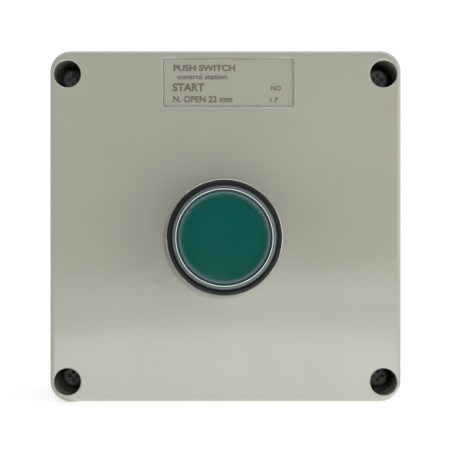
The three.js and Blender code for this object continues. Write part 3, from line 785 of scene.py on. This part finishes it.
def cross_recess(centre, front, depth, span, width, direction=1):
    """A tapering cross for a screwdriver, cut from level front in the given direction along Y."""
    arms = []
    for across in (True, False):
        layers = []
        for share, taper in ((-0.3, 1.1), (0, 1.0), (1, 0.45)):
            long_side, short_side = span * taper, width * (0.7 + 0.3 * taper)
            w, h = (long_side, short_side) if across else (short_side, long_side)
            outline = rounded_rectangle(w, h, min(w, h) * 0.3, centre, 3)
            layers.append((outline, front + direction * depth * share))
        arms.append(lofted("arm", layers))
    return join(*arms)


def threaded_shank(start, end, radius, pitch=0.8, depth=0.28):
    """Profile points of a screw's thread, from start to end."""
    points = []
    step = pitch if end > start else -pitch
    while abs(end - start) > pitch:
        points += [(radius - depth, start), (radius, start + step * 0.45), (radius, start + step * 0.6)]
        start += step
    return points


def make_cover_screw(corner, screw, neck):
    """A pan-head screw, its head against the seal at level neck."""
    head, tip, radius = screw.lo.y, screw.hi.y, screw.size.x / 2
    corners = [(0, head), (radius, head, 0.9), (radius, neck, 0.15), (SHANK_RADIUS, neck)]
    corners += [(SHANK_RADIUS, SEAM)] + threaded_shank(SEAM, tip - 1, SHANK_RADIUS)
    corners += [(SHANK_RADIUS - 0.3, tip - 1), (SHANK_RADIUS - 0.8, tip), (0, tip)]
    made = turned("screw_" + corner, rounded(corners), screw.axis, segments=64)
    cut(made, cross_recess(screw.axis, head, 1.7, 3.9, 0.95))
    dress(made, "zinc_steel", ["cover_screw_" + corner], angle=40, material="aged_and_shaded_zinc")


def make_screw_seal(corner, seal):
    """A rubber washer that the screw has pressed out to the well's wall."""
    outline = flat_ring(2.2, WELL_RADIUS - 0.08, seal.lo.y, seal.hi.y, 0.2, 0.3)
    made = turned("seal_" + corner, outline, seal.axis, segments=64)
    dress(made, "black_rubber", ["screw_seal_" + corner])


def make_brass_insert(corner, insert):
    """A threaded insert with a groove round its middle."""
    bore, outer, middle = 2.2, insert.size.x / 2, insert.mid.y
    outline = rounded([
        (bore, insert.lo.y, 0.15), (outer, insert.lo.y, 0.2),
        (outer, middle - 1, 0.1), (outer - 0.5, middle - 1),
        (outer - 0.5, middle + 1), (outer, middle + 1, 0.1),
        (outer, insert.hi.y, 0.2), (bore, insert.hi.y, 0.15),
    ], 3)
    made = turned("insert_" + corner, outline, insert.axis, segments=64)
    dress(made, "brass", ["brass_insert_" + corner])


def make_cover_fasteners():
    for corner, screw in SCREWS.items():
        seal = Box("screw_seal_" + corner)
        make_cover_screw(corner, screw, seal.lo.y)
        make_screw_seal(corner, seal)
        make_brass_insert(corner, Box("brass_insert_" + corner))


def make_plug():
    """The blanking plug of the upper entry: a slotted flange on a hollow threaded body."""
    flange = PLUG.size.x / 2
    top, bottom = PLUG.hi.z, PLUG.lo.z
    seat = Box("conduit_plug_seal").hi.z
    body = ENTRY_RADIUS - 0.3
    root, hollow = body - 0.4, body - 2.2
    corners = [(0, top), (flange, top, 0.9), (flange, seat, 0.3), (body, seat), (root, seat - 1.2)]
    corners += entry_thread(seat - 1.2, bottom + 0.6, root, 0.4)
    corners += [(root, bottom, 0.3), (hollow, bottom, 0.3), (hollow, seat - 2), (0, seat - 2)]
    plug = turned("entry_plug", rounded(corners), (0, ENTRY_Y), True, 128)
    cut(plug, block("slot", -9, 9, ENTRY_Y - 1.1, ENTRY_Y + 1.1, top - 1.4, top + 1))
    dress(plug, "grey_plastic", ["conduit_plug"])


def make_plug_seal():
    seal = Box("conduit_plug_seal")
    outline = flat_ring(ENTRY_RADIUS + 0.1, seal.size.x / 2, seal.lo.z, seal.hi.z, 0.2, 0.3)
    made = turned("entry_plug_seal", outline, (0, ENTRY_Y), True, 128)
    dress(made, "black_rubber", ["conduit_plug_seal"])


# Push-button operator


def make_bezel():
    """The chrome bezel: a wide flange, a neck that holds the boot, and the threaded barrel behind."""
    flange, back = BEZEL.size.x / 2 - 0.16, BEZEL.hi.y
    flange_front, flange_back = RING.hi.y, Box("panel_gasket").lo.y
    neck_front = BOOT.hi.y
    corners = [
        (STEM_BORE, back, 0.2), (STEM_BORE, back - 2, 0.2),
        (BARREL_BORE, back - 2, 0.3), (BARREL_BORE, flange_front + 1, 0.3),
        (BOOT_BORE, flange_front + 1, 0.3), (BOOT_BORE, neck_front, 0.2),
        (NECK, neck_front, 0.2), (NECK, flange_front, 0.2),
        (flange, flange_front, 0.25), (flange, flange_back, 0.3), (THREAD, flange_back, 0.2),
    ]
    corners += threaded_shank(flange_back + 1, back - 1, THREAD, 1.0) + [(THREAD - 0.3, back)]
    dress(turned("chrome_bezel", rounded(corners), segments=160), "chrome", ["bezel_body"])


def make_bezel_gasket():
    box = Box("panel_gasket")
    outline = flat_ring(CLAMP_BORE, box.size.x / 2, box.lo.y, box.hi.y, 0.2, 0.2)
    dress(turned("bezel_gasket", outline, segments=128), "black_rubber", ["panel_gasket"])


def make_boot_ring():
    """The retaining ring, with a lip over the boot's flange. It hangs a little low in its thread."""
    outer, front, back = RING.size.x / 2 + 0.1, RING.lo.y, RING.hi.y
    bore, lip_bore, lip_back = 15.6, 14.95, front + 1.5
    outline = rounded([
        (bore, back), (bore, lip_back, 0.1), (lip_bore, lip_back, 0.1), (lip_bore, front, 0.3),
        (outer - 0.25, front, 0.7), (outer, back, 0.2),
    ])
    sagging = (BUTTON[0], BUTTON[1] - 0.1)
    dress(turned("retaining_ring", outline, sagging, segments=160), "black_plastic", ["boot_ring"])


def make_boot():
    """The clear boot: a clamped flange, a short wall that folds on the real boot but is drawn here at rest,
    and a flat top with a raised rim.
    """
    front, back = BOOT.lo.y, BOOT.hi.y
    flange_front, flange, wall = back - 1.2, 15.4, 14.88
    top, top_back = front + 0.3, front + 1.15
    outline = rounded([
        (BOOT_BORE, back, 0.15), (flange, back, 0.15),
        (flange, flange_front, 0.15), (wall, flange_front, 0.15),
        (wall, front + 2.6, 0.8), (14.1, front + 0.6, 0.5),
        (13.85, front, 0.3), (13.4, front, 0.2), (13.15, top, 0.2), (0, top),
        (0, top_back), (12.7, top_back, 0.3), (13.2, front + 1.8, 0.5),
    ], 6)
    boot = turned("boot_membrane", outline, segments=160)
    dress(boot, "clear_silicone", ["clear_boot"], body=None)
    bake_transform(boot)


def make_cap():
    front, back, outer = CAP.lo.y, CAP.hi.y, CAP.size.x / 2
    thickness = 1.4
    inner = outer - thickness
    outline = rounded([
        (0, front), (outer, front, 0.35), (outer, back, 0.2),
        (inner, back, 0.2), (inner, front + thickness, 0.3), (0, front + thickness),
    ])
    dress(turned("green_cap", outline, segments=160), "green_plastic", ["button_cap"], "button")


def make_plunger():
    """The stem: a disc under the cap, and a groove that holds the clip."""
    box, clip = Box("plunger"), Box("plunger_clip")
    disc, disc_back = box.size.x / 2, box.lo.y + 1.5
    groove, groove_front, groove_back = STEM - 0.9, clip.lo.y - 0.05, clip.hi.y + 0.05
    outline = rounded([
        (0, box.lo.y), (disc, box.lo.y, 0.3), (disc, disc_back, 0.3), (STEM, disc_back, 0.4),
        (STEM, groove_front), (groove, groove_front), (groove, groove_back),
        (STEM, groove_back), (STEM, box.hi.y, 0.35), (0, box.hi.y),
    ])
    dress(turned("stem", outline), "black_plastic", ["plunger"], "button")


def coil(name, node, turns, wire):
    """A helical spring between a CAD spring's ends, its end coils closed."""
    box = Box(node)
    radius = max(box.size.x, box.size.z) / 2 - wire
    low, high = box.lo.y + wire, box.hi.y - wire
    closed = 0.8 / turns
    steps = 28 * turns
    points = []
    for i in range(steps + 1):
        t = i / steps
        open_share = min(max((t - closed) / (1 - 2 * closed), 0), 1)
        closed_share = min(t / closed, 1) + max((t - 1) / closed + 1, 0)
        level = low + (high - low - 4 * wire) * open_share + 2 * wire * closed_share
        angle = 2 * math.pi * turns * t
        x = BUTTON[0] + radius * math.cos(angle)
        z = BUTTON[1] + radius * math.sin(angle)
        points.append(Vector((x, level, z)))
    return swept(name, points, wire)


SPRINGS = (
    # name, CAD node, turns, wire's radius, joint that squeezes it, body it rides on, whether its back stays
    ("main_spring", "return_spring", 8, 0.5, "button_press", "enclosure", True),
    ("plunger_spring", "contact_plunger_spring", 5, 0.3, "contact_press", "enclosure", True),
    ("pressure_spring", "bridge_spring", 6, 0.25, "bridge_lift", "contact_plunger", False),
)


def make_springs():
    for name, node, turns, wire, joint, body, fixed_at_back in SPRINGS:
        spring = coil(name, node, turns, wire)
        dress(spring, "spring_steel", [node], body, 60)
        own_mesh(spring)


def make_lock_washer():
    """A flat washer with twelve round notches in its edge."""
    washer = Box("lock_washer")
    front, back, outer = washer.lo.y, washer.hi.y, washer.size.x / 2
    made = turned("toothed_washer", flat_ring(CLAMP_BORE, outer, front, back, 0.15, 0.15))
    notches = []
    for k in range(12):
        angle = math.radians(30 * k)
        centre = (BUTTON[0] + outer * math.cos(angle), BUTTON[1] + outer * math.sin(angle))
        notches.append(cylinder("notch", 0.8, front - 1, back + 1, centre, segments=24))
    cut(made, *notches)
    dress(made, "zinc_steel", ["lock_washer"])


def make_lock_nut():
    """A thin hexagonal nut, chamfered on both sides and threaded."""
    nut = Box("lock_nut")
    front, back, flats = nut.lo.y, nut.hi.y, nut.size.z / 2
    points = flats / math.cos(math.pi / 6)
    hexagon = []
    for k in range(6):
        angle = k * math.pi / 3
        hexagon.append((BUTTON[0] + points * math.cos(angle), BUTTON[1] + points * math.sin(angle)))
    made = lofted("hexagon_nut", [(hexagon, back), (hexagon, front)])
    chamfer = [
        (0, front), (flats + 0.2, front), (points + 0.1, front + 1.1),
        (points + 0.1, back - 1.1), (flats + 0.2, back), (0, back),
    ]
    combine(made, [turned("chamfer", chamfer)], "INTERSECT")
    bore = [(0, front - 1), (CLAMP_BORE + 0.7, front - 1), (CLAMP_BORE, front + 0.4)]
    bore += entry_thread(front + 0.4, back - 0.3, CLAMP_BORE, 0.3, 1.0)
    bore += [(CLAMP_BORE, back - 0.4), (CLAMP_BORE + 0.7, back + 1), (0, back + 1)]
    cut(made, turned("bore", bore))
    dress(made, "zinc_steel", ["lock_nut"])


# Contact block


def make_terminal_screw(side):
    screw = Box("terminal_screw_" + side)
    head, tip, radius, shank = screw.hi.y, screw.lo.y, screw.size.x / 2, 1.6
    neck = Box("terminal_clamp_" + side).hi.y
    corners = [(0, head), (radius, head, 0.5), (radius, neck + 0.05, 0.1), (shank, neck + 0.05)]
    corners += threaded_shank(neck - 0.2, tip + 0.4, shank, 0.6) + [(shank - 0.4, tip), (0, tip)]
    made = turned("wire_screw_" + side, rounded(corners), screw.axis, segments=48)
    cut(made, cross_recess(screw.axis, head, 1.3, 3.4, 0.9, -1))
    dress(made, "zinc_steel", ["terminal_screw_" + side], angle=40)


def make_contact_tip(node, body, faces_back):
    """A silver rivet, rounded on the side where it makes contact."""
    tip = Box(node)
    seat, contact = (tip.lo.y, tip.hi.y) if faces_back else (tip.hi.y, tip.lo.y)
    radius = tip.size.x / 2
    outline = rounded([(0, seat), (radius, seat), (radius, contact, 0.3), (0, contact)])
    dress(turned(node + "_rivet", outline, tip.axis, segments=48), "silver_contact", [node], body)


def make_contact_details():
    """Screws and tips of the contact block, turned finer than the CAD."""
    for side in ("upper", "lower"):
        make_terminal_screw(side)
        make_contact_tip("moving_tip_" + side, "contact_bridge", True)
        make_contact_tip("fixed_tip_" + side, "enclosure", False)


# Pieces kept from the CAD


def soften_cad_nodes():
    """The CAD nodes that stay shown get rounded edges, smooth shading and their materials."""
    slots = {part["node"]: part["material_slot"] for part in frame["record"]["subparts"]}
    for name, node in frame["nodes"].items():
        if node.hide_render:
            continue
        bevel = node.modifiers.new("bevel", "BEVEL")
        bevel.width = 0.18 * MM
        bevel.segments = 2
        bevel.limit_method = "ANGLE"
        bevel.angle_limit = math.radians(40)
        for polygon in node.data.polygons:
            polygon.use_smooth = True
        node.data.set_sharp_from_angle(angle=math.radians(50))
        weighted = node.modifiers.new("weighted_normals", "WEIGHTED_NORMAL")
        weighted.keep_sharp = True
        node.data.materials.clear()
        node.data.materials.append(MATERIALS[slots[name]])


# Label lettering: generic words, printed on the floor of the recess.

LINES = (
    # words, height of capitals, left edge and baseline from the recess's centre, letter width, stroke
    ("PUSH SWITCH", 1.75, -15.9, 3.4, 1.16, 0.2),
    ("control station", 1.5, -14.6, 1.0, 1.16, 0.13),
    ("START", 2.25, -16.0, -2.4, 1.0, 0.24),
    ("N. OPEN 22 mm", 1.8, -16.0, -5.6, 1.0, 0.17),
    ("NO", 1.35, 12.2, -2.2, 1.0, 0.14),
    ("1 P", 1.4, 11.8, -5.55, 1.0, 0.12),
)


def make_lettering():
    cap_height = 0.73  # of Blender's own font, as a share of its size
    thickness = 0.012
    for number, (words, height, left, baseline, stretch, stroke) in enumerate(LINES, 1):
        curve = bpy.data.curves.new("words", "FONT")
        curve.body = words
        curve.size = height / cap_height * MM
        curve.extrude = thickness * MM
        curve.offset = stroke * MM / 2
        text = bpy.data.objects.new("words", curve)
        bpy.context.scene.collection.objects.link(text)
        text.scale.x = stretch
        text.rotation_euler = (math.radians(90), 0, 0)
        x, z = LABEL_CENTRE
        text.location = Vector((x + left, LABEL_FLOOR - thickness, z + baseline)) * MM
        bpy.context.view_layer.update()
        flattened = text.evaluated_get(bpy.context.evaluated_depsgraph_get())
        mesh = bpy.data.meshes.new_from_object(flattened)
        mesh.transform(text.matrix_world)
        bpy.data.objects.remove(text)
        line = bpy.data.objects.new(f"label_line_{number}", mesh)
        bpy.context.scene.collection.objects.link(line)
        mesh.materials.clear()
        mesh.materials.append(MATERIALS["label_ink"])
        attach(line, "enclosure")


# Studio

WALL_LIGHT = (0.72, 1.32)  # radiance of the studio's left and right side
CEILING_SHARE = 0.5  # how bright it is straight above, compared with the sides
FLOOR_LEVEL = CAD_BOUNDS[0].z / MM - 0.2  # just below the box
FLOOR_EDGE = -1100  # the floor ends here towards the camera, and the room beyond is dark
FULL_GLOW = -300  # from here back the floor glows at its full strength
FLOOR_SIDE, FLOOR_BACK = 1500, 2500


def softbox(name, place, target, width, height, power, shape="RECTANGLE"):
    """An area light that the camera doesn't see, in metres and watts."""
    data = bpy.data.lights.new(name, "AREA")
    data.shape = shape
    data.size = width
    data.size_y = height
    data.energy = power
    light = bpy.data.objects.new(name, data)
    light.location = place
    light.rotation_euler = (Vector(target) - Vector(place)).to_track_quat("-Z", "Y").to_euler()
    light.visible_camera = False
    bpy.context.scene.collection.objects.link(light)
    return light


def make_world():
    """White behind the object for the camera. As a light: bright all round, brightest on the right,
    dimmer above, and dark in a wide cone in front."""
    world = bpy.data.worlds.new("studio")
    bpy.context.scene.world = world
    world.use_nodes = True
    tree = world.node_tree
    tree.nodes.clear()

    def node(kind, **settings):
        made = tree.nodes.new(kind)
        for key, value in settings.items():
            setattr(made, key, value)
        return made

    def levels(value, start, end, low, high):
        made = node("ShaderNodeMapRange", interpolation_type="SMOOTHSTEP")
        for socket, number in zip(("From Min", "From Max", "To Min", "To Max"), (start, end, low, high)):
            made.inputs[socket].default_value = number
        tree.links.new(value, made.inputs["Value"])
        return made.outputs["Result"]

    def product(first, second):
        made = node("ShaderNodeMath", operation="MULTIPLY")
        tree.links.new(first, made.inputs[0])
        tree.links.new(second, made.inputs[1])
        return made.outputs["Value"]

    direction = node("ShaderNodeSeparateXYZ")
    tree.links.new(node("ShaderNodeTexCoord").outputs["Generated"], direction.inputs["Vector"])
    sides = levels(direction.outputs["X"], -1, 1, *WALL_LIGHT)
    ceiling = levels(direction.outputs["Z"], 0.4, 1, 1, CEILING_SHARE)
    dark_front = levels(direction.outputs["Y"], -0.8, -0.45, 0.02, 1)
    total = product(product(sides, ceiling), dark_front)

    light = node("ShaderNodeBackground")
    tree.links.new(total, light.inputs["Color"])
    white = node("ShaderNodeBackground")
    white.inputs["Color"].default_value = (1, 1, 1, 1)
    white.inputs["Strength"].default_value = 1.02
    mix = node("ShaderNodeMixShader")
    tree.links.new(node("ShaderNodeLightPath").outputs["Is Camera Ray"], mix.inputs["Fac"])
    tree.links.new(light.outputs["Background"], mix.inputs[1])
    tree.links.new(white.outputs["Background"], mix.inputs[2])
    tree.links.new(mix.outputs["Shader"], node("ShaderNodeOutputWorld").inputs["Surface"])


def make_floor():
    """A pale floor that glows faintly, so that it meets the white background without a line. The glow
    fades out towards the camera."""
    bm = bmesh.new()
    corners = [
        (-FLOOR_SIDE, FLOOR_EDGE), (FLOOR_SIDE, FLOOR_EDGE),
        (FLOOR_SIDE, FLOOR_BACK), (-FLOOR_SIDE, FLOOR_BACK),
    ]
    bm.faces.new([bm.verts.new((x, y, FLOOR_LEVEL)) for x, y in corners])
    floor = new_object("floor", bm)
    shader = Shader("floor_white")
    tone = shader.mix(shader.noise(6, 3, 0.5), (0.82, 0.82, 0.815), (0.86, 0.86, 0.855))
    shader.link(tone, shader.bsdf, "Base Color")
    shader.bsdf.inputs["Roughness"].default_value = 0.7
    shader.bsdf.inputs["Emission Color"].default_value = (1, 1, 1, 1)
    place = shader.node("ShaderNodeSeparateXYZ")
    shader.link(shader.coordinates, place, "Vector")
    glow = shader.spread(place.outputs["Y"], 0, 0.5, FLOOR_EDGE * MM, FULL_GLOW * MM)
    shader.link(glow, shader.bsdf, "Emission Strength")
    floor.data.materials.append(shader.material)


def make_lights():
    """Soft light from in front, which the glossy cover doesn't mirror, and from the right. Two more
    softboxes light only what shines: one above, and an oval pool of light on the floor, whose edge the
    cover mirrors as an arch."""
    key = softbox("key", (0.1, -0.95, 0.35), (0, -0.06, 0), 0.8, 0.5, 1.0)
    key.visible_glossy = False
    front = softbox("front", (0.1, -1.1, 0.1), (0, -0.06, 0), 0.1, 0.1, 3.45)
    front.visible_glossy = False
    softbox("right", (0.17, -0.2, -0.07), (0.02, -0.06, -0.01), 0.12, 0.3, 0.17)
    top = softbox("top", (0, -0.05, 0.5), (0, -0.05, 0), 0.9, 0.5, 2.6)
    top.visible_diffuse = False
    place = Vector((0.01, -0.25, (FLOOR_LEVEL + 0.1) * MM))
    pool = softbox("pool", place, place + Vector((0, 0, 1)), 0.2, 0.44, 0.41, "ELLIPSE")
    pool.rotation_euler = (math.pi, 0, 0)  # facing up, its long side towards the camera
    pool.data.color = (0.96, 0.97, 1.0)
    pool.visible_diffuse = False
    pool.visible_transmission = False


make_camera()
make_cover()
make_base()
make_gasket()
make_cover_fasteners()
make_plug()
make_plug_seal()
make_bezel()
make_bezel_gasket()
make_boot_ring()
make_boot()
make_cap()
make_plunger()
make_springs()
make_lock_washer()
make_lock_nut()
make_contact_details()
make_lettering()
soften_cad_nodes()
make_world()
make_floor()
make_lights()
bpy.context.scene.view_settings.view_transform = "Standard"
